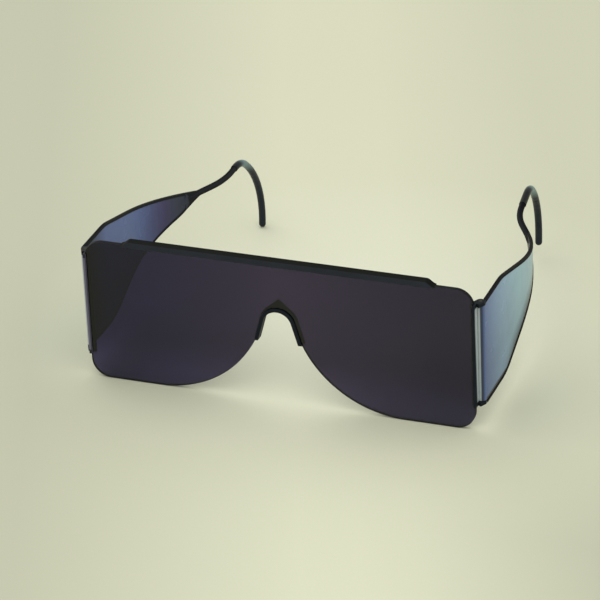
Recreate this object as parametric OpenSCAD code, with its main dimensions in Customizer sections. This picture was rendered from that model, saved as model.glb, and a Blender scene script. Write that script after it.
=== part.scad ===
// Shield sunglasses: one flat lens, a brow bar, a nose bridge and two folding temples with ear hooks.
// X runs across the face, -Y is the front, +Z is up. The glasses stand on the lens and the left hook's tip.

/* [Lens] */
// Width of the flat lens
lens_w = 145; // [134:1:160]
// Height of the lens
lens_h = 54.4; // [53:0.2:62]
// Thickness of the lens sheet
lens_t = 1.8; // [1.2:0.1:2.4]
// Radius of the two top corners
top_corner_r = 6.5; // [2:0.5:8]
// Radius of the two outer bottom corners
bottom_corner_r = 7; // [3:0.5:8]
// Distance from the middle to where each lobe starts to rise towards the nose
lobe_x = 46.4; // [45:0.2:54]
// Radius of the curve from a lobe up to the nose
lobe_r = 41.4; // [38:0.2:44]

/* [Nose bridge] */
// Radius of the arch that the nose sees
nose_r = 5.4; // [4:0.1:7]
// Height of the top of that arch above the lobes
nose_top = 36.2; // [34:0.1:42]
// Outward lean of the sides of the arch, in degrees
nose_flare = 16; // [8:1:26]
// Height at which the bridge ends
nose_base = 24; // [20:0.5:27]
// Wall of the bridge in the cut-out
nose_wall = 0.9; // [0.6:0.1:1.5]
// Width of the front lip of the bridge on the lens
nose_front_lip = 0.4; // [0.4:0.1:2]
// Width of the rear flange of the bridge on the lens
nose_flange = 1; // [1:0.1:4]
// Thickness of the rear flange
nose_flange_t = 0.9; // [0.8:0.1:3]
// Height of the point on top of the rear flange
nose_peak = 2.2; // [1:0.1:5]

/* [Brow bar] */
// Length of the brow bar
bar_w = 117; // [100:1:126]
// Length of each S-shaped end
bar_end = 3.4; // [3:0.2:10]
// Thickness of the bar above the lens
bar_cap = 1.7; // [1:0.1:4]
// Reach of the front lip down the lens
bar_front_lip = 0.5; // [0.5:0.1:4]
// Reach of the rear lip down the lens
bar_rear_lip = 1.2; // [1:0.1:4]
// Thickness of the rear lip
bar_rear_t = 0.9; // [0.6:0.1:2]

/* [Edge channels] */
// Thickness of a front lip, and of a hinge channel's rear lip
lip_t = 0.6; // [0.4:0.1:1.2]
// Wall of a hinge channel along the side of the lens
channel_wall = 0.6; // [0.4:0.1:1.5]
// Reach of a hinge channel's front lip on the lens
channel_front_lip = 0.5; // [0.5:0.1:3]
// Reach of a hinge channel's rear lip on the lens
channel_rear_lip = 1.5; // [1:0.1:5]
// Gap for glue between the lens and what grips it
seat_gap = 0.04; // [0.02:0.01:0.1]

/* [Hinges] */
// Height of a hinge from lug to lug
hinge_h = 40.2; // [30:0.2:42]
// Distance from the top edge of the lens down to the hinge
hinge_drop = 5.2; // [3:0.1:7]
// Radius of the hinge barrel
barrel_r = 1.55; // [1.4:0.05:2]
// Gap between the barrel and the hinge channel
barrel_gap = 0.2; // [0.15:0.05:0.5]
// Thickness of each lug
lug_t = 1.4; // [1:0.1:3]
// Gap between a lug and the end of the barrel
lug_gap = 0.15; // [0.1:0.05:0.4]
// Radius of the hinge pin
pin_r = 0.6; // [0.5:0.05:0.9]
// Clearance of the pin in the lugs that hold it
pin_hold_gap = 0.02; // [0.01:0.01:0.03]
// Running clearance of the barrel on the pin
pin_run_gap = 0.06; // [0.03:0.01:0.1]

/* [Temples] */
// Thickness of the side panel
web_t = 0.9; // [0.7:0.1:1.4]
// Thickness of the rim bead along its edges
rim_t = 1.2; // [1.2:0.1:2.2]
// Width of the rim bead
rim_w = 0.9; // [0.8:0.1:2]
// Length in front of the panel's end where the two beads have met
rim_meet = 8; // [6:0.5:9]
// Distance of the panel's middle outside the hinge axis
panel_out = 1.1; // [0.9:0.05:1.3]
// Length of the straight stretch behind the hinge axis
straight_len = 41.9; // [30:0.1:50]
// Radius of the long inward curve
sweep_r = 93.2; // [80:0.2:150]
// Heading inward at the end of that curve, in degrees
sweep_turn = 25.5; // [14:0.5:28]
// Length of the level top edge behind the hinge axis
top_level = 19.9; // [8:0.1:24]
// Length of the level bottom edge behind the hinge axis
bottom_level = 23.5; // [15:0.1:32]
// Distance behind the axis where the bottom edge eases
belly_back = 49.4; // [48:0.2:60]
// Rise of the bottom edge up to there
belly_rise = 11.4; // [8:0.1:13]
// Distance behind the axis where the bottom edge turns up to the neck
throat_back = 75.4; // [70:0.2:79]
// Rise of the bottom edge up to there
throat_rise = 17.6; // [14:0.1:19]

/* [Neck] */
// Radius of the round neck
neck_r = 1.15; // [1:0.05:1.6]
// Upward slope of the neck, in degrees
neck_slope = 7.7; // [6:0.1:16]
// Radius of the bend that steepens inward
inward_bend_r = 31.3; // [20:0.1:40]
// Steepest heading inward, in degrees
inward_turn = 33.3; // [28:0.1:44]
// Length of the straight stretch between the two bends
between_bends = 5; // [1:0.1:8]
// Radius of the bend back towards straight behind the ear
return_bend_r = 23.6; // [14:0.2:36]
// Length of the straight end of the neck that holds the wire
socket_len = 2; // [2:0.5:6]
// Length of the cone that blends the neck into the panel
blend_len = 9; // [4:1:14]

/* [Ear hooks] */
// Heading inward of the whole hook, in degrees
hook_turn = 4.6; // [0:0.1:8]
// Height of the middle of the left hook's crest above the ground
crest_z = 35; // [32:0.2:38]
// Radius of the crest bend
crest_r = 11; // [8:0.5:15]
// Downward heading at the end of the crest bend, in degrees
crest_turn = 38.9; // [34:0.1:60]
// Downward heading at the tip, in degrees
tip_turn = 97.3; // [84:0.1:100]
// Extra length in front of the right hook's crest, where the wearer bent it later
late_bend = 6.4; // [0:0.1:10]
// Height of the right hook's tip above the ground
tip_lift = 4.8; // [0:0.1:8]
// Radius of the soft sleeve
sleeve_r = 1.35; // [1.2:0.05:1.8]
// Length of the straight start of the sleeve
sleeve_lead = 1; // [1:0.5:4]
// Radius of the wire core
wire_r = 0.5; // [0.4:0.05:0.7]
// Clearance round the wire core
wire_gap = 0.03; // [0.02:0.01:0.06]
// Part of the long bend, in degrees, that is solid sleeve in front of the tip
solid_tip = 4; // [2:1:8]

/* [Hidden] */
$fn = 96;

// Largest turn between two points of a rounded corner, in degrees
corner_step = 3;
// Overshoot of a cut past the face that it opens
cut = 1;
// Points along each S-shaped end of the brow bar
bar_steps = 14;
// Steps round the top of the nose arch
arch_steps = 36;
// Corner radii of the panel's outline
level_corner_r = 25;
belly_corner_r = 60;
throat_corner_r = 20;
// Half the height that the panel keeps where it ends inside the neck
panel_tail = 0.5;
// Half the height of the neck's flat start inside the panel
blend_half_h = 2;
// Steps along the blend, the two bends of the neck, and the two bends of the hook
blend_steps = 6;
bend_steps = 5;
return_steps = 9;
crest_steps = 10;
long_steps = 10;
tip_steps = 4;
// Sides of the round neck and sleeve, and of the wire
round_sides = 20;
wire_sides = 12;

hinge_top = lens_h - hinge_drop;
hinge_bottom = hinge_top - hinge_h;
channel_x = lens_w / 2 + channel_wall;
channel_y = lens_t + lip_t;
// The hinge axis stands off the outer rear corner of the channel by the barrel and its gap
stand_off = barrel_r + barrel_gap;
axis_lean = 63;
axis_x = channel_x + stand_off * cos(axis_lean);
axis_y = channel_y + stand_off * sin(axis_lean);
panel_x = axis_x + panel_out;

// Plan of the temple as [x, y, heading inward]: the two ends of each bend
sweep_start = [panel_x, axis_y + straight_len];
sweep_end = plan_arc(sweep_start, 0, sweep_turn, sweep_r, 1)[0];
neck_start = [sweep_end[0], sweep_end[1]];

// The neck lies in a plane that climbs by neck_slope. Places in it are [x, distance along the slope].
blend_turn = blend_len / sweep_r * 180 / PI;
blend_line = plan_arc([neck_start[0], 0], sweep_turn, sweep_turn - blend_turn, -sweep_r, blend_steps);
bend_line = plan_arc([neck_start[0], 0], sweep_turn, inward_turn, inward_bend_r, bend_steps);
bend_end = bend_line[bend_steps - 1];
between_end = bend_end + between_bends * [-sin(inward_turn), cos(inward_turn), 0];
return_line = plan_arc(between_end, inward_turn, hook_turn, return_bend_r, return_steps);
return_end = return_line[return_steps - 1];
neck_tip = [return_end[0] - socket_len * sin(hook_turn), return_end[1] + socket_len * cos(hook_turn)];

// The hook goes on from the neck's end in an upright plane. The left one's crest sets how high the neck is.
hook_way = [-sin(hook_turn) * cos(neck_slope), cos(hook_turn) * cos(neck_slope), sin(neck_slope)];
neck_end_z = crest_z - crest_r * (1 - cos(neck_slope)) - sleeve_lead * sin(neck_slope);
neck_z = neck_end_z - neck_tip[1] * sin(neck_slope);
neck_end = [neck_tip[0], neck_start[1] + neck_tip[1] * cos(neck_slope), neck_end_z];

// Where the crest bend starts, then the middles of both bends as [distance behind that place, height]
function hook_start(right) = neck_end + (sleeve_lead + (right ? late_bend : 0)) * hook_way;
function crest_centre(right) = [crest_r * sin(neck_slope), hook_start(right)[2] - crest_r * cos(neck_slope)];
function long_start(right) = crest_centre(right) + crest_r * [sin(crest_turn), cos(crest_turn)];
// The long bend ends with the tip's round end at its height above the ground
function long_r(right) =
    (long_start(right)[1] - sleeve_r - (right ? tip_lift : 0)) / (cos(crest_turn) - cos(tip_turn));
function long_centre(right) = long_start(right) - long_r(right) * [sin(crest_turn), cos(crest_turn)];

// The origin is under the middle of the whole depth
front_y = -lip_t;
hook_reach = long_centre(true)[0] + long_r(true) * sin(min(90, tip_turn));
rear_y = hook_start(true)[1] + hook_reach * cos(hook_turn) + sleeve_r;
origin_y = (front_y + rear_y) / 2;

// Where the panel ends inside the neck
tail_y = neck_start[1] + bend_end[1] * cos(neck_slope);
tail_z = neck_z + (tail_y - neck_start[1]) * tan(neck_slope);

// Points of a bend in the plan: start place, start and end heading inward, radius, number of steps
function plan_arc(from, h0, h1, r, steps) =
    let (way = sign(h1 - h0))
    [for (i = [1 : steps])
        let (h = h0 + (h1 - h0) * i / steps)
        [from[0] - way * r * (cos(h0) - cos(h)), from[1] + way * r * (sin(h) - sin(h0)), h]];

function unit(v) = v / norm(v);

// Points of the arc that rounds corner b between a and c
function corner_points(a, b, c, r) =
    let (
        u = unit(a - b),
        v = unit(c - b),
        half = acos(u * v) / 2,
        centre = b + unit(u + v) * r / sin(half),
        p = b + u * r / tan(half) - centre,
        q = b + v * r / tan(half) - centre,
        start = atan2(p[1], p[0]),
        turn = atan2(p[0] * q[1] - p[1] * q[0], p * q),
        steps = max(2, ceil(abs(turn) / corner_step))
    )
    [for (i = [0 : steps]) centre + r * [cos(start + turn * i / steps), sin(start + turn * i / steps)]];

// Mirrors its children to the other side of the face
module side(right) {
    if (right) children();
    else mirror([1, 0, 0]) children();
}

// Moves the finished piece from the lens's front face to the part's origin
module placed() {
    translate([0, -origin_y, 0]) children();
}

// Stands a drawing of x and z up and gives it its depth from y0 to y1
module upright(y0, y1) {
    translate([0, y1, 0]) rotate([90, 0, 0]) linear_extrude(y1 - y0) children();
}

// What a rounded corner leaves out of a square one, at the origin, for a corner that points to +x and +z
module corner_waste(r) {
    difference() {
        translate([-r, -r]) square(r + cut);
        translate([-r, -r]) circle(r);
    }
}

// Arch with a round top and sides that lean outward, as one closed outline
module arch(r, top, base) {
    middle = top - r;
    foot = r * cos(nose_flare) + (middle + r * sin(nose_flare) - base) * tan(nose_flare);
    turn = 180 - 2 * nose_flare;
    round_top = [for (i = [0 : arch_steps])
        let (a = nose_flare + turn * i / arch_steps)
        [r * cos(a), middle + r * sin(a)]];
    polygon(concat([[foot, base]], round_top, [[-foot, base]]));
}

// Cut-out between the lobes, below the bridge
module lobe_gap() {
    difference() {
        translate([-lobe_x, -cut]) square([2 * lobe_x, nose_base + cut]);
        for (x = [-lobe_x, lobe_x]) translate([x, lobe_r]) circle(lobe_r);
    }
}

module lens_outline() {
    lens_cut = nose_wall + seat_gap;
    difference() {
        translate([-lens_w / 2, 0]) square([lens_w, lens_h]);
        for (x = [0, 1]) mirror([x, 0]) {
            translate([lens_w / 2, lens_h]) corner_waste(top_corner_r);
            translate([lens_w / 2, 0]) mirror([0, 1]) corner_waste(bottom_corner_r);
        }
        lobe_gap();
        arch(nose_r + lens_cut, nose_top + lens_cut, nose_base - cut);
    }
}

module lens() {
    color("#3b3540") placed() upright(0, lens_t) lens_outline();
}

// Height of the bar's top edge above the lens at a distance before the bar's end
function bar_top(before_end) = bar_cap * (1 - cos(180 * min(1, before_end / bar_end))) / 2;

// Front view of the bar down to a lip's edge
module bar_outline(lip) {
    half = bar_w / 2;
    end_points = [for (i = [0 : bar_steps]) let (t = bar_end * i / bar_steps)
        [half - t, lens_h + seat_gap + bar_top(t)]];
    other_end = [for (i = [bar_steps : -1 : 0]) [-end_points[i][0], end_points[i][1]]];
    polygon(concat([[half, lens_h - lip]], end_points, other_end, [[-half, lens_h - lip]]));
}

module brow_bar() {
    color("#15171a") placed() difference() {
        union() {
            upright(-lip_t, lens_t) bar_outline(bar_front_lip);
            upright(lens_t - cut, lens_t + bar_rear_t) bar_outline(bar_rear_lip);
        }
        translate([-bar_w / 2 - cut, -seat_gap, 0])
            cube([bar_w + 2 * cut, lens_t + 2 * seat_gap, lens_h + seat_gap]);
    }
}

module nose_bridge() {
    grip = nose_wall + nose_front_lip;
    flange_r = nose_r + nose_wall + nose_flange;
    flange_top = nose_top + nose_wall + nose_flange;
    color("#17191c") placed() difference() {
        union() {
            upright(-lip_t, 0) arch(nose_r + grip, nose_top + grip, nose_base);
            upright(-cut / 2, lens_t + cut / 2) arch(nose_r + nose_wall, nose_top + nose_wall, nose_base);
            upright(lens_t, lens_t + nose_flange_t) {
                arch(flange_r, flange_top, nose_base);
                polygon([[-flange_r * cos(45), flange_top - flange_r * (1 - sin(45))],
                    [0, flange_top + nose_peak],
                    [flange_r * cos(45), flange_top - flange_r * (1 - sin(45))]]);
            }
        }
        upright(-lip_t - cut, lens_t + nose_flange_t + cut) arch(nose_r, nose_top, nose_base - cut);
        upright(-seat_gap, lens_t + seat_gap) difference() {
            arch(nose_r + grip + nose_flange, nose_top + grip + nose_flange + nose_peak, nose_base - cut);
            arch(nose_r + nose_wall, nose_top + nose_wall, nose_base - 2 * cut);
        }
    }
}

// Plan of the hinge channel, with the lens in its slot
module channel_plan() {
    difference() {
        union() {
            translate([lens_w / 2 - channel_front_lip, -lip_t])
                square([channel_front_lip + channel_wall, channel_y + lip_t]);
            translate([lens_w / 2 - channel_rear_lip, lens_t])
                square([channel_rear_lip + channel_wall, lip_t]);
        }
        lens_slot();
    }
}

// Plan of the lens's side edge with the glue gap round it
module lens_slot() {
    translate([0, -seat_gap]) square([lens_w / 2 + seat_gap, lens_t + 2 * seat_gap]);
}

// Plan of a lug: a disc round the pin and an arm down to the channel
module lug_plan() {
    difference() {
        union() {
            translate([axis_x, axis_y]) circle(barrel_r);
            translate([axis_x, axis_y]) rotate(axis_lean - 90)
                translate([-barrel_r, -stand_off - channel_wall])
                    square([2 * barrel_r, stand_off + channel_wall]);
        }
        lens_slot();
    }
}

module hinge_bracket(right) {
    color("#1b1d21") placed() side(right) difference() {
        union() {
            translate([0, 0, hinge_bottom]) linear_extrude(hinge_h) channel_plan();
            for (z = [hinge_bottom, hinge_top - lug_t])
                translate([0, 0, z]) linear_extrude(lug_t) lug_plan();
        }
        translate([axis_x, axis_y, hinge_bottom - cut])
            cylinder(r = pin_r + pin_hold_gap, h = hinge_h + 2 * cut);
    }
}

module hinge_pin(right) {
    color("silver") placed() side(right)
        translate([axis_x, axis_y, hinge_bottom]) cylinder(r = pin_r, h = hinge_h);
}

// Middle line of the panel in plan, from the hinge axis to its end inside the neck
function panel_line() = concat(
    [[panel_x, axis_y, 0], [sweep_start[0], sweep_start[1], 0]],
    plan_arc(sweep_start, 0, sweep_turn, sweep_r, 10),
    plan_arc(neck_start, sweep_turn, inward_turn, inward_bend_r, 6));

// The panel's line moved sideways by a distance
function beside(line, d) = [for (p = line) [p[0] + d * cos(p[2]), p[1] + d * sin(p[2])]];

module panel_plan(t) {
    line = panel_line();
    inner = beside(line, -t / 2);
    polygon(concat(beside(line, t / 2), [for (i = [len(line) - 1 : -1 : 0]) inner[i]]));
}

// Height of the line from a to b at a place along y
function on_line(a, b, y) = a[1] + (b[1] - a[1]) * (y - a[0]) / (b[0] - a[0]);

// Side view of the panel as [y, z] from a front edge to a rear edge, drawn in along its top and bottom
module panel_side(front, rear, inset) {
    level_top = [axis_y + top_level, hinge_top];
    level_low = [axis_y + bottom_level, hinge_bottom];
    belly = [axis_y + belly_back, hinge_bottom + belly_rise];
    throat = [axis_y + throat_back, hinge_bottom + throat_rise];
    rear_top = [rear, on_line(level_top, [tail_y, tail_z + panel_tail], rear)];
    rear_low = [rear, on_line(throat, [tail_y, tail_z - panel_tail], rear)];
    shift = [0, inset];
    polygon(concat(
        [[front, hinge_bottom] + shift, [front, hinge_top] - shift],
        corner_points([front, hinge_top] - shift, level_top - shift, rear_top - shift, level_corner_r),
        [rear_top - shift, rear_low + shift],
        corner_points(rear_low + shift, throat + shift, belly + shift, throat_corner_r),
        corner_points(throat + shift, belly + shift, level_low + shift, belly_corner_r),
        corner_points(belly + shift, level_low + shift, [front, hinge_bottom] + shift, level_corner_r)));
}

// A slab across the whole width whose outline is a drawing of y and z
module from_side() {
    rotate([90, 0, 90]) linear_extrude(lens_w) children();
}

module panel() {
    intersection() {
        linear_extrude(lens_h) panel_plan(web_t);
        from_side() panel_side(axis_y, tail_y, 0);
    }
    intersection() {
        linear_extrude(lens_h) panel_plan(rim_t);
        from_side() difference() {
            panel_side(axis_y, tail_y, 0);
            panel_side(axis_y - cut, tail_y - rim_meet, rim_w);
        }
    }
}

// A station of a sweep is [place, sideways direction, upward direction, half width, half height]
function neck_station(p, half_w, half_h) = [
    [p[0], neck_start[1] + p[1] * cos(neck_slope), neck_z + p[1] * sin(neck_slope)],
    [cos(p[2]), sin(p[2]) * cos(neck_slope), sin(p[2]) * sin(neck_slope)],
    [0, -sin(neck_slope), cos(neck_slope)],
    half_w, half_h];

// A station on one of the hook's bends, at a downward heading
function hook_station(start, centre, r, h, size) =
    let (u = centre[0] + r * sin(h))
    [[start[0] - u * sin(hook_turn), start[1] + u * cos(hook_turn), centre[1] + r * cos(h)],
    [cos(hook_turn), sin(hook_turn), 0],
    [-sin(hook_turn) * sin(h), cos(hook_turn) * sin(h), cos(h)],
    size, size];

// A station on the straight stretch in front of the hook, behind the neck's end by a distance
function lead_station(behind, size) = [
    neck_end + behind * hook_way,
    [cos(hook_turn), sin(hook_turn), 0],
    [sin(hook_turn) * sin(neck_slope), -cos(hook_turn) * sin(neck_slope), cos(neck_slope)],
    size, size];

// Every point of the rings round a list of stations
function rings(stations, sides) = [for (s = stations, i = [0 : sides - 1])
    let (a = 360 * i / sides)
    s[0] + s[1] * s[3] * cos(a) + s[2] * s[4] * sin(a)];

// Triangles of the skin between neighbouring rings, from the point numbered first on
function skin(first, count, sides, inward) = [for (k = [0 : count - 2], i = [0 : sides - 1])
    let (
        a = first + k * sides + i,
        b = first + k * sides + (i + 1) % sides,
        c = a + sides,
        d = b + sides
    )
    each (inward ? [[a, d, b], [a, c, d]] : [[a, b, d], [a, d, c]])];

// Triangles that close a ring
function cap(first, sides, forward) = [for (i = [1 : sides - 2])
    forward ? [first, first + i + 1, first + i] : [first, first + i, first + i + 1]];

module rod(stations, sides) {
    count = len(stations);
    polyhedron(rings(stations, sides), concat(
        skin(0, count, sides, false),
        cap(0, sides, true),
        cap((count - 1) * sides, sides, false)));
}

// The neck, from its flat start inside the panel to the round socket of the wire
module neck() {
    start = [for (i = [blend_steps - 1 : -1 : 0])
        let (t = (i + 1) / blend_steps)
        let (half_w = neck_r + (web_t / 2 - neck_r) * t, half_h = neck_r + (blend_half_h - neck_r) * t)
        neck_station(blend_line[i], half_w, half_h)];
    round_line = concat([[neck_start[0], 0, sweep_turn]], bend_line, [between_end], return_line,
        [concat(neck_tip, hook_turn)]);
    rod(concat(start, [for (p = round_line) neck_station(p, neck_r, neck_r)]), round_sides);
}

module temple(right) {
    barrel_low = hinge_bottom + lug_t + lug_gap;
    barrel_h = hinge_h - 2 * (lug_t + lug_gap);
    color("#2a2e38") placed() side(right) difference() {
        union() {
            difference() {
                panel();
                for (z = [hinge_bottom - cut, hinge_top - lug_t - lug_gap])
                    translate([axis_x, axis_y, z])
                        cylinder(r = barrel_r + barrel_gap, h = lug_t + lug_gap + cut);
            }
            translate([axis_x, axis_y, barrel_low]) cylinder(r = barrel_r, h = barrel_h);
            neck();
        }
        translate([axis_x, axis_y, hinge_bottom - cut])
            cylinder(r = pin_r + pin_run_gap, h = hinge_h + 2 * cut);
        translate(neck_end + cut * hook_way) rotate([90 + neck_slope, 0, hook_turn])
            cylinder(r = wire_r + wire_gap, h = cut + socket_len);
    }
}

// Stations along the hook's two bends, the second one down to a heading
function crest_stations(right, size) = [for (i = [0 : crest_steps])
    hook_station(hook_start(right), crest_centre(right), crest_r,
        -neck_slope + (crest_turn + neck_slope) * i / crest_steps, size)];
function long_stations(right, last, size) = [for (i = [1 : long_steps])
    hook_station(hook_start(right), long_centre(right), long_r(right),
        crest_turn + (last - crest_turn) * i / long_steps, size)];

// The sleeve is one skin: outside, round tip, inside and the open end
module ear_sleeve(right) {
    bore = wire_r + wire_gap;
    bore_end = tip_turn - solid_tip;
    tip = hook_station(hook_start(right), long_centre(right), long_r(right), tip_turn, sleeve_r);
    tip_way = [-sin(hook_turn) * cos(tip_turn), cos(hook_turn) * cos(tip_turn), -sin(tip_turn)];
    round_tip = [for (i = [1 : tip_steps])
        let (a = 90 * i / (tip_steps + 0.5))
        [tip[0] + sleeve_r * sin(a) * tip_way, tip[1], tip[2], tip[3] * cos(a), tip[4] * cos(a)]];
    outside = concat([lead_station(0, sleeve_r)], crest_stations(right, sleeve_r),
        long_stations(right, bore_end, sleeve_r), [tip], round_tip);
    inside = concat([lead_station(0, bore)], crest_stations(right, bore),
        long_stations(right, bore_end, bore));
    sides = round_sides;
    outer = len(outside);
    inner = len(inside);
    open_end = [for (i = [0 : sides - 1])
        let (j = (i + 1) % sides)
        each [[i, outer * sides + j, j], [i, outer * sides + i, outer * sides + j]]];
    color("#121314") placed() side(right)
        polyhedron(concat(rings(outside, sides), rings(inside, sides)), concat(
            skin(0, outer, sides, false),
            cap((outer - 1) * sides, sides, false),
            skin(outer * sides, inner, sides, true),
            cap((outer + inner - 1) * sides, sides, true),
            open_end));
}

module ear_wire(right) {
    color("silver") placed() side(right)
        rod(concat([lead_station(-socket_len, wire_r), lead_station(0, wire_r)],
            crest_stations(right, wire_r),
            long_stations(right, tip_turn - solid_tip, wire_r)), wire_sides);
}

lens();
brow_bar();
nose_bridge();
hinge_bracket(false);  // hinge_bracket_left
hinge_bracket(true);  // hinge_bracket_right
hinge_pin(false);  // hinge_pin_left
hinge_pin(true);  // hinge_pin_right
temple(false);  // temple_left
temple(true);  // temple_right
ear_sleeve(false);  // ear_sleeve_left
ear_sleeve(true);  // ear_sleeve_right
ear_wire(false);  // ear_wire_left
ear_wire(true);  // ear_wire_right
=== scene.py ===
import math

import bpy
from mathutils import Matrix, Vector


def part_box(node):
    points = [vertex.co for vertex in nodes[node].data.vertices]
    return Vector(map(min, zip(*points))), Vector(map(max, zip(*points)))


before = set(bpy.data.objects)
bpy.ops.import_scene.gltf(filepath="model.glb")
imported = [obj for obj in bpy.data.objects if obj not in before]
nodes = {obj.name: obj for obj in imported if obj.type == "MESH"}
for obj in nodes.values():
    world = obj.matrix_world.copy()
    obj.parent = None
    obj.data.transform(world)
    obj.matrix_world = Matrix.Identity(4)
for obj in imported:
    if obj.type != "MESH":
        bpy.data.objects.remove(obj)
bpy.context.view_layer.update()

MM = 0.001
scene = bpy.context.scene

# Places on the part, in metres. FRONT is the lens's front face, and the hinge axes are at AXIS_Y
# and AXIS_X to both sides. A panel's wall is straight at PANEL_X for STRAIGHT behind its axis, and
# then follows an arc of SWEEP_R round SWEEP_X.
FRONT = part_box("lens")[0].y
AXIS_Y = FRONT + 3.959 * MM
AXIS_X = 73.8945 * MM
PANEL_X = 74.9945 * MM
STRAIGHT = 41.9 * MM
SWEEP_R = 93.2 * MM
SWEEP_X = PANEL_X - SWEEP_R
# The hinge's height, and how far the space between its lugs reaches above and below that
HINGE_MIDDLE = 29.1 * MM
LUG_REACH = 18.5 * MM
# The tops of the ear hooks. The right one is further back by twice HOOK_SHIFT.
HOOK_TOP_Y = 45.54 * MM
HOOK_SHIFT = 3.16 * MM

# Base colours: linear red, green, blue and alpha. A pair holds the darker and the lighter patches.
LENS_VIOLET = (0.019, 0.0155, 0.066, 1), (0.024, 0.019, 0.078, 1)
LENS_WARM = (0.042, 0.029, 0.078, 1)
LENS_DEEP = (0.014, 0.008, 0.040, 1)
LENS_GREY = (0.058, 0.056, 0.11, 1)
LENS_EDGE = (0.006, 0.005, 0.009, 1), (0.014, 0.012, 0.018, 1)
FRAME_BLACK = (0.011, 0.014, 0.018, 1), (0.016, 0.019, 0.024, 1)
# the brow bar's top darkened with painted shade, and its front lighter and bluer with painted light
BROW_TOP_PAINTED_SHADE = (0.005, 0.006, 0.006, 1), (0.008, 0.009, 0.009, 1)
BROW_FRONT_PAINTED_LIGHT = (0.025, 0.028, 0.036, 1), (0.030, 0.033, 0.043, 1)
# the left channel's black, the painted light on its lip's shaded inner edge, and the painted
# highlight on its outer wall
CHANNEL_BLACK = (0.013, 0.013, 0.020, 1)
LIP_PAINTED_LIGHT = (0.105, 0.10, 0.13, 1)
LEFT_WALL_PAINTED_HIGHLIGHT = (0.15, 0.14, 0.19, 1)
# painted highlight on the right channel's outer wall
RIGHT_WALL_PAINTED_HIGHLIGHT = (0.50, 0.56, 0.58, 1)
# the barrel's pale painted highlight, and the dark stripe of painted shade beside it
BARREL_PAINTED_HIGHLIGHT = (0.44, 0.49, 0.49, 1), (0.52, 0.56, 0.56, 1)
BARREL_PAINTED_SHADE = (0.040, 0.050, 0.088, 1)
# the temple's outer tones, blue, slate and teal, are painted reflection, and its low tone painted
# shade
PANEL_BLUE = (0.09, 0.136, 0.30, 1)
PANEL_SLATE = (0.20, 0.30, 0.44, 1)
PANEL_TEAL = (0.31, 0.465, 0.53, 1)
PANEL_LOW_PAINTED_SHADE = (0.065, 0.108, 0.138, 1)
PANEL_EDGE = (0.010, 0.010, 0.013, 1)
# the temple's inner tones are painted reflection, and its tone beside the hinge painted shade
INSIDE_BLUE = (0.096, 0.138, 0.315, 1)
INSIDE_VIOLET = (0.064, 0.057, 0.135, 1)
INSIDE_REAR = (0.050, 0.056, 0.082, 1)
INSIDE_HINGE_PAINTED_SHADE = (0.012, 0.014, 0.022, 1)
NECK_BLACK = (0.006, 0.006, 0.007, 1)
TRIM_BLACK = (0.007, 0.007, 0.009, 1), (0.010, 0.010, 0.013, 1)
# painted light on the inner side of the black neck and trim
INWARD_PAINTED_LIGHT = (0.024, 0.025, 0.027, 1)
SLEEVE_BLACK = (0.019, 0.021, 0.027, 1), (0.025, 0.027, 0.034, 1)
# painted shade on the limb before the top of the hook
SLEEVE_FRONT_PAINTED_SHADE = (0.008, 0.009, 0.011, 1)
# painted highlight just behind the top of the hook
SLEEVE_PAINTED_HIGHLIGHT = (0.17, 0.255, 0.26, 1)
SLEEVE_SHEEN = (0.62, 0.86, 1.0, 1)
STEEL = (0.5, 0.51, 0.52, 1), (0.66, 0.67, 0.68, 1)
BLACKENED_STEEL = (0.03, 0.03, 0.035, 1), (0.06, 0.06, 0.065, 1)
# painted light and shade on the paper: lighter near the front and in the middle, darker at the
# sides
PAPER_NEAR = (0.755, 0.745, 0.54, 1)
PAPER_FAR = (0.71, 0.695, 0.50, 1)
PAPER_PAINTED_SHADE = (0.55, 0.545, 0.395, 1)
PAPER_PAINTED_LIGHT = (0.86, 0.85, 0.66, 1)
PAPER_FIBRE = (0.5, 0.5, 0.4, 1)
WORLD_LIGHT = (0.93, 0.97, 1.0, 1)
WORLD_SEEN = (0.70, 0.70, 0.52, 1)


# ---------------------------------------------------------------- camera
def look_from(azimuth, elevation, roll, distance, focal_px, target):
    """The photograph's view. focal_px is in pixels of a picture 600 wide."""
    sensor, picture = 36, 600
    a, e, r = (math.radians(v) for v in (azimuth, elevation, roll))
    back = Vector((math.sin(a) * math.cos(e), -math.cos(a) * math.cos(e), math.sin(e)))
    level = Vector((math.cos(a), math.sin(a), 0))
    up = back.cross(level)
    right = math.cos(r) * level + math.sin(r) * up
    top = -math.sin(r) * level + math.cos(r) * up
    data = bpy.data.cameras.new("view")
    data.sensor_width = sensor
    data.lens = sensor * focal_px / picture
    data.clip_start, data.clip_end = 0.05, 50
    cam = bpy.data.objects.new("view", data)
    scene.collection.objects.link(cam)
    turn = Matrix((right, top, back)).transposed().to_4x4()
    cam.matrix_world = Matrix.Translation(target + back * distance) @ turn
    scene.camera = cam


look_from(azimuth=21.255, elevation=27.6864, roll=-2.5251, distance=1.33968, focal_px=3832.27,
          target=Vector((8.8703 * MM, FRONT, 42.2033 * MM)))


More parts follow.
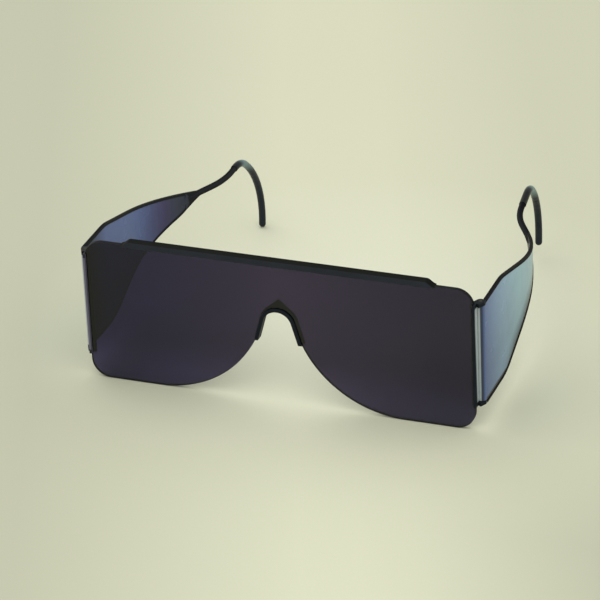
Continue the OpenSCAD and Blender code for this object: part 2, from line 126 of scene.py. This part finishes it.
# ---------------------------------------------------------------- node helpers
class Tree:
    """A material's node tree, with short calls for the nodes used here."""

    def __init__(self, name):
        self.mat = bpy.data.materials.new(name)
        self.mat.use_nodes = True
        self.tree = self.mat.node_tree
        self.tree.nodes.clear()
        self.out = self.tree.nodes.new("ShaderNodeOutputMaterial")

    def node(self, kind, **settings):
        n = self.tree.nodes.new("ShaderNode" + kind)
        for key, value in settings.items():
            setattr(n, key, value)
        return n

    def link(self, a, b):
        self.tree.links.new(a, b)

    def put(self, value, socket):
        """A number or colour goes on the socket, and another node's output is linked to it."""
        if isinstance(value, bpy.types.NodeSocket):
            self.link(value, socket)
        else:
            socket.default_value = value

    def math(self, operation, *values, clamp=False):
        n = self.node("Math", operation=operation, use_clamp=clamp)
        for value, socket in zip(values, n.inputs):
            self.put(value, socket)
        return n.outputs[0]

    def times(self, a, b):
        return self.math("MULTIPLY", a, b)

    def minus(self, a, b):
        return self.math("SUBTRACT", a, b)

    def past(self, value, start):
        """How far a value is beyond a start, and 0 before it."""
        return self.math("MAXIMUM", self.minus(value, start), 0.0)

    def length(self, a, b):
        """Length of the line whose parts along two axes are a and b."""
        return self.math("SQRT", self.math("ADD", self.times(a, a), self.times(b, b)))

    def place(self):
        """Object coordinates: the part's own frame, in metres."""
        return self.node("TexCoord").outputs["Object"]

    def xyz(self):
        parts = self.node("SeparateXYZ")
        self.link(self.place(), parts.inputs[0])
        return parts.outputs

    def inward(self, x):
        """1 on faces that look towards the head, near 0 on those that look up or outwards."""
        facing = self.node("SeparateXYZ")
        self.link(self.node("TexCoord").outputs["Normal"], facing.inputs[0])
        outward = self.times(facing.outputs[0], self.math("SIGN", x))
        return self.span(outward, -0.6, 0.1, 1, 0)

    def noise(self, size, detail=3, roughness=0.55, stretch=None):
        """Noise whose lumps are about size metres across."""
        where = self.place()
        if stretch:
            m = self.node("Mapping")
            m.inputs["Scale"].default_value = stretch
            self.link(where, m.inputs["Vector"])
            where = m.outputs[0]
        n = self.node("TexNoise")
        self.link(where, n.inputs["Vector"])
        n.inputs["Scale"].default_value = 1 / size
        n.inputs["Detail"].default_value = detail
        n.inputs["Roughness"].default_value = roughness
        return n.outputs[0]

    def span(self, value, low, high, to_low=0, to_high=1):
        """A value's range from low to high, brought to another range and held at its ends."""
        n = self.node("MapRange")
        for v, socket in zip((value, low, high, to_low, to_high), n.inputs):
            self.put(v, socket)
        return n.outputs[0]

    def spread(self, noise, to_low=0, to_high=1):
        """The range that noise mostly stays in, brought to another one."""
        return self.span(noise, 0.3, 0.7, to_low, to_high)

    def above(self, value, edge, blur):
        return self.span(value, edge - blur, edge + blur, 0, 1)

    def below(self, value, edge, blur):
        return self.span(value, edge - blur, edge + blur, 1, 0)

    def mix(self, factor, a, b):
        n = self.node("Mix", data_type="RGBA")
        # a Mix node's colours are its sockets 6 and 7, and its colour result is output 2
        self.put(factor, n.inputs[0])
        self.put(a, n.inputs[6])
        self.put(b, n.inputs[7])
        return n.outputs[2]

    def patches(self, noise, pair):
        return self.mix(self.spread(noise), *pair)

    def scale(self, colour, factor):
        n = self.node("VectorMath", operation="SCALE")
        self.put(colour, n.inputs[0])
        self.put(factor, n.inputs["Scale"])
        return n.outputs[0]

    def bump(self, height, distance):
        n = self.node("Bump")
        n.inputs["Strength"].default_value = 1.0
        n.inputs["Distance"].default_value = distance
        self.link(height, n.inputs["Height"])
        return n.outputs[0]

    def grain(self, size, depth):
        """The fine spark-eroded grain of a moulding tool."""
        return self.bump(self.noise(size, 3, 0.6), depth)

    def principled(self, **values):
        n = self.node("BsdfPrincipled")
        for key, value in values.items():
            self.put(value, n.inputs[key.replace("_", " ")])
        self.link(n.outputs[0], self.out.inputs[0])

    def satin(self, colour, cloud, gloss, rough=0.42):
        """Black moulding's finish: grained, with a slightly uneven gloss."""
        self.principled(Base_Color=colour, Roughness=self.spread(cloud, rough - 0.05, rough + 0.07),
                        Specular_IOR_Level=gloss, Normal=self.grain(0.25 * MM, 0.012 * MM))


# ---------------------------------------------------------------- lens and frame
def lens_material():
    """Smoke-violet sheet: polished, hardly see-through, with faint wiping marks and dust."""
    t = Tree("smoked_lens")
    x, _, z = t.xyz()
    wipes = t.noise(9 * MM, 4, 0.6, stretch=(0.35, 1, 1.4))
    dust = t.noise(0.5 * MM, 2, 0.5)
    rough = t.math("ADD", t.span(wipes, 0.35, 0.7, 0.02, 0.07), t.span(dust, 0.68, 0.8, 0, 0.12),
                   clamp=True)
    # painted light and shade: violet at the left, warmer in the middle and deeper at the right,
    # standing in for the floor's light and shade seen through the sheet
    tint = t.patches(wipes, LENS_VIOLET)
    tint = t.mix(t.span(x, -50 * MM, 0), tint, LENS_WARM)
    tint = t.mix(t.span(x, 0, 60 * MM), tint, LENS_DEEP)
    # lighter and greyer towards the bottom: painted light that offsets the shade of the floor seen
    # through the sheet
    low = t.span(z, 2 * MM, 22 * MM, 1, 0)
    low = t.times(low, low)
    tint = t.scale(tint, t.math("MULTIPLY_ADD", low, 2.0, 0.85))
    tint = t.mix(t.times(low, 0.6), tint, LENS_GREY)
    # the index sets how much of the room the sheet mirrors
    t.principled(Base_Color=tint, Roughness=rough, IOR=1.43, Transmission_Weight=1.0,
                 Normal=t.bump(t.noise(30 * MM, 2), 0.02 * MM))
    return t.mat


def lens_edge_material():
    """Ground, unpolished edge of the lens sheet."""
    t = Tree("ground_edge")
    grind = t.noise(0.2 * MM, 3, 0.6, stretch=(1, 0.2, 1))
    t.principled(Base_Color=t.patches(grind, LENS_EDGE), Roughness=0.6, Specular_IOR_Level=0.08,
                 Normal=t.bump(grind, 0.01 * MM))
    return t.mat


def moulding_material(name, pair, gloss, rough=0.42):
    """Satin black moulding."""
    t = Tree(name)
    cloud = t.noise(12 * MM)
    t.satin(t.patches(cloud, pair), cloud, gloss, rough)
    return t.mat


def between_lugs(t, z):
    """1 at the heights between a hinge channel's two lugs."""
    return t.below(t.math("ABSOLUTE", t.minus(z, HINGE_MIDDLE)), LUG_REACH, 0.1 * MM)


def left_bracket_material():
    """Satin black hinge channel, with a violet grey painted highlight on its outer wall and painted
    light on the lip's inner edge, which lies in shade.
    """
    t = Tree("channel_painted_highlight_left")
    x, y, z = t.xyz()
    # painted highlight on the outer wall between the lugs
    wall = t.below(x, -72.3 * MM, 0.3 * MM)
    # painted light on the lip's inner edge, which lies in shade
    lip = t.times(t.inward(x), t.below(y, FRONT, 0.05 * MM))
    dark = t.mix(lip, CHANNEL_BLACK, LIP_PAINTED_LIGHT)
    t.principled(Base_Color=t.mix(t.times(wall, between_lugs(t, z)), dark, LEFT_WALL_PAINTED_HIGHLIGHT),
                 Roughness=t.spread(t.noise(6 * MM), 0.3, 0.42), Specular_IOR_Level=0.12,
                 Normal=t.grain(0.25 * MM, 0.01 * MM))
    return t.mat


def right_bracket_material():
    """Satin black hinge channel whose outer wall wears a painted highlight as pale as the barrel
    behind it.
    """
    t = Tree("channel_painted_highlight_right")
    x, y, z = t.xyz()
    wall = t.above(x, 73.03 * MM, 0.05 * MM)
    # the painted highlight starts a little further back towards the bottom
    start = t.math("ADD", t.span(z, 12 * MM, 40 * MM, 1.0 * MM, 0), FRONT)
    wall = t.times(wall, t.span(t.minus(y, start), -0.6 * MM, 0.7 * MM))
    cloud = t.noise(12 * MM)
    black = t.patches(cloud, FRAME_BLACK)
    t.satin(t.mix(t.times(wall, between_lugs(t, z)), black, RIGHT_WALL_PAINTED_HIGHLIGHT), cloud, gloss=0.03)
    return t.mat


# ---------------------------------------------------------------- temples and ear hooks
def barrel_material():
    """Satin hinge barrel, pale with a painted highlight. The right one has a dark stripe of painted
    shade, and the panel's blue beyond it.
    """
    t = Tree("hinge_barrel")
    x = t.xyz()[0]
    cloud = t.noise(5 * MM)
    stripe = t.above(x, AXIS_X + 0.2 * MM, 0.15 * MM)
    blue = t.above(x, AXIS_X + 1.125 * MM, 0.175 * MM)
    # pale painted highlight with a stripe of painted shade
    tone = t.mix(stripe, t.patches(cloud, BARREL_PAINTED_HIGHLIGHT), BARREL_PAINTED_SHADE)
    t.principled(Base_Color=t.mix(blue, tone, PANEL_BLUE), Roughness=t.spread(cloud, 0.3, 0.42),
                 Specular_IOR_Level=0.3, Normal=t.grain(0.3 * MM, 0.006 * MM))
    return t.mat


def panel_outside(t, behind_axis, z):
    """Painted reflection, blue at the hinge and teal behind, with a dark zone of painted shade and
    a black line at the lower edge.
    """
    tone = t.mix(t.span(behind_axis, 0, 16 * MM), PANEL_BLUE, PANEL_SLATE)
    tone = t.mix(t.span(behind_axis, 16 * MM, 40 * MM), tone, PANEL_TEAL)
    # the lower edge rises in two straight runs, the second one less steep
    rise = t.times(t.past(behind_axis, 23.5 * MM), 0.44)
    rise = t.minus(rise, t.times(t.past(behind_axis, 49.4 * MM), 0.2))
    height = t.minus(z, rise)
    # painted shade in a zone above the lower edge
    low = t.times(t.span(height, 11 * MM, 17 * MM, 1, 0),
                  t.span(behind_axis, 18 * MM, 32 * MM, 0, 0.95))
    tone = t.mix(low, tone, PANEL_LOW_PAINTED_SHADE)
    return t.mix(t.below(height, 11.15 * MM, 0.35 * MM), tone, PANEL_EDGE)


def panel_inside(t, behind_axis):
    """Painted reflection: blue, then violet and dark grey towards the neck, and painted shade
    beside the hinge.
    """
    tone = t.mix(t.span(behind_axis, 48 * MM, 66 * MM), INSIDE_BLUE, INSIDE_VIOLET)
    tone = t.mix(t.span(behind_axis, 66 * MM, 74 * MM), tone, INSIDE_REAR)
    return t.mix(t.span(behind_axis, 5 * MM, 20 * MM, 0.9, 0), tone, INSIDE_HINGE_PAINTED_SHADE)


def temple_material():
    """Moulded panel with painted reflection in a different colour on each side, which goes over to
    a black neck.
    """
    t = Tree("temple_moulding")
    x, y, z = t.xyz()
    behind_axis = t.minus(y, AXIS_Y)
    # how far outside the middle of the panel's wall a point lies
    reach = t.length(t.minus(t.math("ABSOLUTE", x), SWEEP_X), t.past(behind_axis, STRAIGHT))
    outer = t.above(t.minus(reach, SWEEP_R), 0, 0.1 * MM)
    cloud = t.noise(15 * MM)
    # random tone, and painted light that makes the panel lighter towards its top
    shade = t.times(t.spread(cloud, 0.93, 1.07), t.span(z, 22 * MM, 44 * MM, 0.94, 1.24))
    body = t.mix(outer, panel_inside(t, behind_axis), panel_outside(t, behind_axis, z))
    neck = t.span(behind_axis, 74 * MM, 86 * MM)
    # painted light: the neck is paler on its inner side
    black = t.mix(t.inward(x), NECK_BLACK, INWARD_PAINTED_LIGHT)
    t.principled(Base_Color=t.mix(neck, t.scale(body, shade), black),
                 Roughness=t.spread(cloud, 0.2, 0.3), Specular_IOR_Level=0.09,
                 Normal=t.grain(0.3 * MM, 0.006 * MM))
    return t.mat


def trim_material():
    """Black beads, edges and neck of a temple, with painted light that makes them a little paler on
    their inner side.
    """
    t = Tree("temple_trim")
    x = t.xyz()[0]
    cloud = t.noise(12 * MM)
    # painted light: paler on the inner side
    t.satin(t.mix(t.inward(x), t.patches(cloud, TRIM_BLACK), INWARD_PAINTED_LIGHT), cloud, gloss=0.01)
    return t.mat


def sleeve_material():
    """Smooth soft sleeve on the wire, with a painted highlight where it turns over the ear and
    painted shade on the limb in front of that.
    """
    t = Tree("soft_sleeve")
    x, y, z = t.xyz()
    rub = t.noise(4 * MM, 4, 0.6)
    top = t.math("MULTIPLY_ADD", t.math("SIGN", x), HOOK_SHIFT, HOOK_TOP_Y)
    past_top = t.minus(y, top)
    # painted highlight just behind the top of the hook
    crest_highlight = t.times(t.span(z, 28 * MM, 33 * MM), t.span(past_top, 0.5 * MM, 4 * MM))
    dark = t.mix(t.span(rub, 0.35, 0.65), *SLEEVE_BLACK)
    # painted shade on the limb before the top of the hook
    dark = t.mix(t.span(past_top, -3 * MM, 0), SLEEVE_FRONT_PAINTED_SHADE, dark)
    t.principled(Base_Color=t.mix(crest_highlight, dark, SLEEVE_PAINTED_HIGHLIGHT), Roughness=t.spread(rub, 0.26, 0.36),
                 Specular_IOR_Level=0.14, Specular_Tint=SLEEVE_SHEEN,
                 Normal=t.bump(t.noise(0.2 * MM, 2), 0.006 * MM))
    return t.mat


def steel_material(name, pair):
    """Drawn wire: fine lines along the length."""
    t = Tree(name)
    lines = t.noise(0.06 * MM, 2, 0.5, stretch=(1, 1, 0.05))
    t.principled(Base_Color=t.patches(lines, pair), Metallic=1.0,
                 Roughness=t.spread(lines, 0.22, 0.38), Normal=t.bump(lines, 0.004 * MM))
    return t.mat


# ---------------------------------------------------------------- which face wears what
FACING = 0.5


def lens_part(face, points):
    """0 for the sheet's front and back, 1 for its edge."""
    return 0 if abs(face.normal.y) > FACING else 1


def bar_part(face, points):
    """1 for the bar's top, which wears painted shade, 2 for its front, which wears painted light, 0
    for the rest.
    """
    if face.normal.z > FACING:
        return 1
    return 2 if face.normal.y < -FACING else 0


def temple_part(face, points):
    """0 for the panel's walls, 1 for the hinge barrel, 2 for dark beads, edges and neck."""
    if all(on_barrel(v) for v in points):
        return 1
    beyond_wall = max(off_panel(v) for v in points) > 0.5 * MM
    dark = abs(face.normal.z) > FACING or beyond_wall
    return 2 if dark and not on_flat_start(face.center) else 0


def on_barrel(v):
    return math.hypot(abs(v.x) - AXIS_X, v.y - AXIS_Y) < 1.58 * MM


def off_panel(v):
    """Distance of a point from the middle of the panel's wall, in plan."""
    behind = max(v.y - (AXIS_Y + STRAIGHT), 0)
    return abs(math.hypot(abs(v.x) - SWEEP_X, behind) - SWEEP_R)


def on_flat_start(v):
    """Whether a place is on the neck's flat start, which keeps the panel's colours."""
    behind = v.y - AXIS_Y
    middle = 31.96 * MM + (behind - 82.02 * MM) * math.tan(math.radians(7.7))
    return behind < 79 * MM and abs(v.z - middle) < 2.25 * MM


def dress(names, materials, part=None):
    """Gives pieces their materials. part(face, points) says which one a face wears."""
    for name in names:
        mesh = nodes[name].data
        mesh.materials.clear()
        for material in materials:
            mesh.materials.append(material)
        if part:
            for face in mesh.polygons:
                face.material_index = part(face, [mesh.vertices[i].co for i in face.vertices])


frame_black = moulding_material("satin_moulding", FRAME_BLACK, gloss=0.03)
dress(["lens"], [lens_material(), lens_edge_material()], lens_part)
dress(["nose_bridge"], [frame_black])
# the bar's top wears painted shade, and its front painted light
dress(["brow_bar"],
      [frame_black, moulding_material("brow_top_painted_shade", BROW_TOP_PAINTED_SHADE, gloss=0.02),
       moulding_material("brow_front_painted_light", BROW_FRONT_PAINTED_LIGHT, gloss=0.04, rough=0.36)],
      bar_part)
dress(["hinge_bracket_left"], [left_bracket_material()])
dress(["hinge_bracket_right"], [right_bracket_material()])
dress(["temple_left", "temple_right"], [temple_material(), barrel_material(), trim_material()],
      temple_part)
dress(["ear_sleeve_left", "ear_sleeve_right"], [sleeve_material()])
dress(["ear_wire_left", "ear_wire_right"], [steel_material("drawn_steel", STEEL)])
dress(["hinge_pin_left", "hinge_pin_right"],
      [steel_material("blackened_steel", BLACKENED_STEEL)])


# ---------------------------------------------------------------- floor, backdrop and light
def paper_material():
    """Pale studio paper with painted light and shade: brightest in the middle, lighter towards the
    front and darker towards its sides.
    """
    t = Tree("studio_paper")
    x, y, _ = t.xyz()
    fibre = t.noise(1.2 * MM, 4, 0.6)
    # how far to the right of the part's middle a place is, seen from the photograph's side
    across = t.math("ADD", t.times(x, 0.932), t.times(y, 0.3625))
    # painted shade towards the sides and the near right
    left = t.span(across, -0.115, -0.02, 0.9, 0)
    right = t.span(across, 0.02, 0.085, 0, 0.45)
    near_right = t.times(t.span(across, 0.0, 0.09, 0, 0.6), t.span(y, -0.07, -0.13))
    sides = t.math("ADD", t.math("MAXIMUM", left, right), near_right)
    # painted light, lighter towards the front
    base = t.mix(t.span(y, -0.15, 0.2), PAPER_NEAR, PAPER_FAR)
    base = t.mix(sides, base, PAPER_PAINTED_SHADE)
    # painted light, a pool that brightens the middle
    base = t.mix(t.span(t.length(x, y), 0.02, 0.12, 0.55, 0), base, PAPER_PAINTED_LIGHT)
    base = t.mix(t.spread(fibre, 0, 0.04), base, PAPER_FIBRE)
    t.principled(Base_Color=base, Roughness=0.9, Specular_IOR_Level=0.1,
                 Normal=t.bump(fibre, 0.02 * MM))
    return t.mat


def make_floor(half, steps, level):
    """A square grid, half its side on each side of the origin."""
    mesh = bpy.data.meshes.new("floor")
    row = steps + 1
    points = [(-half + 2 * half * i / steps, -half + 2 * half * j / steps, level)
              for j in range(row) for i in range(row)]
    faces = [(j * row + i, j * row + i + 1, (j + 1) * row + i + 1, (j + 1) * row + i)
             for j in range(steps) for i in range(steps)]
    mesh.from_pydata(points, [], faces)
    mesh.materials.append(paper_material())
    floor = bpy.data.objects.new("floor", mesh)
    scene.collection.objects.link(floor)


def soft_light(name, place, size, power, colour):
    """A round soft lamp that points at the origin."""
    data = bpy.data.lights.new(name, "AREA")
    data.shape = "DISK"
    data.size = size
    data.energy = power
    data.color = colour
    lamp = bpy.data.objects.new(name, data)
    lamp.location = place
    lamp.rotation_euler = (-Vector(place)).to_track_quat("-Z", "Y").to_euler()
    scene.collection.objects.link(lamp)


def make_world():
    """An even light, and a backdrop that the camera, reflections and the lens see instead."""
    world = bpy.data.worlds.new("studio")
    scene.world = world
    world.use_nodes = True
    tree = world.node_tree
    tree.nodes.clear()
    out = tree.nodes.new("ShaderNodeOutputWorld")
    path = tree.nodes.new("ShaderNodeLightPath")
    mix = tree.nodes.new("ShaderNodeMixShader")
    for socket, colour, strength in ((1, WORLD_LIGHT, 0.72), (2, WORLD_SEEN, 1.0)):
        shown = tree.nodes.new("ShaderNodeBackground")
        shown.inputs["Color"].default_value = colour
        shown.inputs["Strength"].default_value = strength
        tree.links.new(shown.outputs[0], mix.inputs[socket])
    rays = path.outputs["Is Camera Ray"]
    for other in ("Is Glossy Ray", "Is Transmission Ray"):
        either = tree.nodes.new("ShaderNodeMath")
        either.operation = "MAXIMUM"
        tree.links.new(rays, either.inputs[0])
        tree.links.new(path.outputs[other], either.inputs[1])
        rays = either.outputs[0]
    tree.links.new(rays, mix.inputs[0])
    tree.links.new(mix.outputs[0], out.inputs[0])


make_floor(half=6.0, steps=12, level=-0.0002)
soft_light("key", place=(0.3, -0.9, 1.6), size=1.8, power=9, colour=(1.0, 1.0, 0.99))
soft_light("fill", place=(-0.8, 0.5, 1.5), size=1.6, power=7, colour=(0.98, 0.99, 1.0))
make_world()
scene.view_settings.view_transform = "Standard"
